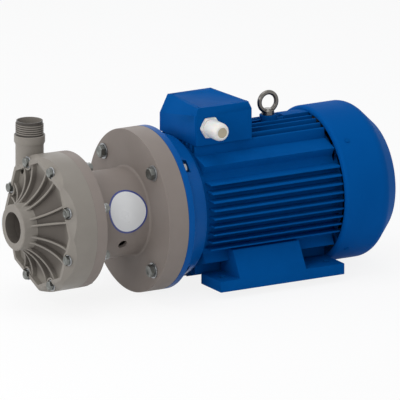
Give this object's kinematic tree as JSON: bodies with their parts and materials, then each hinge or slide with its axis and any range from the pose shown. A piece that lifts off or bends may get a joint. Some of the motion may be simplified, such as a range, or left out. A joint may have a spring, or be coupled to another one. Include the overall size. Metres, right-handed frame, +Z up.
{
  "type": "magnetic drive chemical pump",
  "caption": "Plastic magnetic-drive centrifugal pump with a ribbed casing and threaded ports, bolted to a finned foot-mounted electric motor.",
  "frame": {"origin": "centre of the four foot bolt holes, on the plane under the feet", "axes": "+X along the shaft from the suction port to the fan, +Z up, the cable gland points to -Y"},
  "size_m": [0.8592, 0.35, 0.399],
  "materials": {
    "casing_plastic": "satin moulded polypropylene",
    "adapter_plastic": "satin moulded polypropylene",
    "blue_paint": "semi-gloss blue paint on cast housing",
    "cowl_paint": "semi-gloss blue paint on pressed steel",
    "zinc_steel": "zinc-plated steel",
    "forged_steel": "dark forged steel",
    "ground_steel": "ground shaft steel",
    "bearing_steel": "polished bearing steel",
    "core_laminations": "stacked electrical steel",
    "copper_winding": null,
    "cast_aluminium": "die-cast aluminium",
    "cast_iron": "bare cast iron",
    "magnet_alloy": "nickel-plated magnet alloy",
    "black_rubber": "black elastomer",
    "white_nylon": "off-white moulded nylon",
    "beige_plug": "beige moulded plug",
    "label_film": "white film with a dark blue rim",
    "ceramic": null,
    "bush_carbon": "carbon filled bush material",
    "fan_plastic": "black moulded plastic",
    "board_plastic": "brown moulding compound",
    "brass_stud": "turned brass"
  },
  "bodies": {
    "pump_and_motor_body": {"front_casing": "casing_plastic", "rear_casing": "casing_plastic", "casing_o_ring": "black_rubber", "pump_shaft": "ceramic", "shaft_support": "casing_plastic", "thrust_rings": "ceramic", "casing_bolts": "zinc_steel", "casing_washers": "zinc_steel", "casing_nuts": "zinc_steel", "adapter_bracket": "adapter_plastic", "label_disc": "label_film", "flange_bolts": "zinc_steel", "flange_washers": "zinc_steel", "flange_nuts": "zinc_steel", "drive_end_bearing_outer": "bearing_steel", "rear_bearing_outer": "bearing_steel", "drive_end_shield": "blue_paint", "shaft_seal": "black_rubber", "stator_frame": "blue_paint", "stator_core": "core_laminations", "stator_windings": "copper_winding", "rear_end_shield": "blue_paint", "shield_screws": "zinc_steel", "wave_spring": "ground_steel", "fan_cowl": "cowl_paint", "cowl_screws": "blue_paint", "foot_left": "blue_paint", "foot_right": "blue_paint", "foot_screws": "zinc_steel", "terminal_box_base": "blue_paint", "terminal_box_lid": "blue_paint", "lid_screws": "blue_paint", "terminal_board": "board_plastic", "terminal_studs": "brass_stud", "gland_body": "white_nylon", "gland_dome_nut": "white_nylon", "gland_plug": "beige_plug", "eye_bolt": "forged_steel"},
    "motor_rotor": {"motor_shaft": "ground_steel", "shaft_key": "ground_steel", "rotor_core": "core_laminations", "rotor_end_rings": "cast_aluminium", "drive_end_bearing_inner": "bearing_steel", "rear_bearing_inner": "bearing_steel", "cooling_fan": "fan_plastic", "fan_clip": "ground_steel", "drive_magnet_hub": "cast_iron", "drive_magnets": "magnet_alloy", "hub_screw": "zinc_steel", "hub_washer": "zinc_steel"},
    "impeller_set": {"impeller": "casing_plastic", "inner_magnet_capsule": "casing_plastic", "impeller_bushes": "bush_carbon"},
    "front_ball_set": {"drive_end_bearing_balls": "bearing_steel"},
    "rear_ball_set": {"rear_bearing_balls": "bearing_steel"}
  },
  "joints": [
    {"name": "motor_shaft_spin", "type": "hinge", "parent": "pump_and_motor_body", "child": "motor_rotor", "pos_m": [0, 0, 0.16], "axis": [1, 0, 0], "continuous": true},
    {"name": "impeller_spin", "type": "hinge", "parent": "pump_and_motor_body", "child": "impeller_set", "pos_m": [0, 0, 0.16], "axis": [1, 0, 0], "continuous": true},
    {"name": "front_balls_orbit", "type": "hinge", "parent": "pump_and_motor_body", "child": "front_ball_set", "pos_m": [0, 0, 0.16], "axis": [1, 0, 0], "continuous": true},
    {"name": "rear_balls_orbit", "type": "hinge", "parent": "pump_and_motor_body", "child": "rear_ball_set", "pos_m": [0, 0, 0.16], "axis": [1, 0, 0], "continuous": true}
  ],
  "couplings": [
    {"joint": "impeller_spin", "follows": "motor_shaft_spin", "ratio": 1},
    {"joint": "front_balls_orbit", "follows": "motor_shaft_spin", "ratio": 0.3841},
    {"joint": "rear_balls_orbit", "follows": "motor_shaft_spin", "ratio": 0.3841}
  ]
}
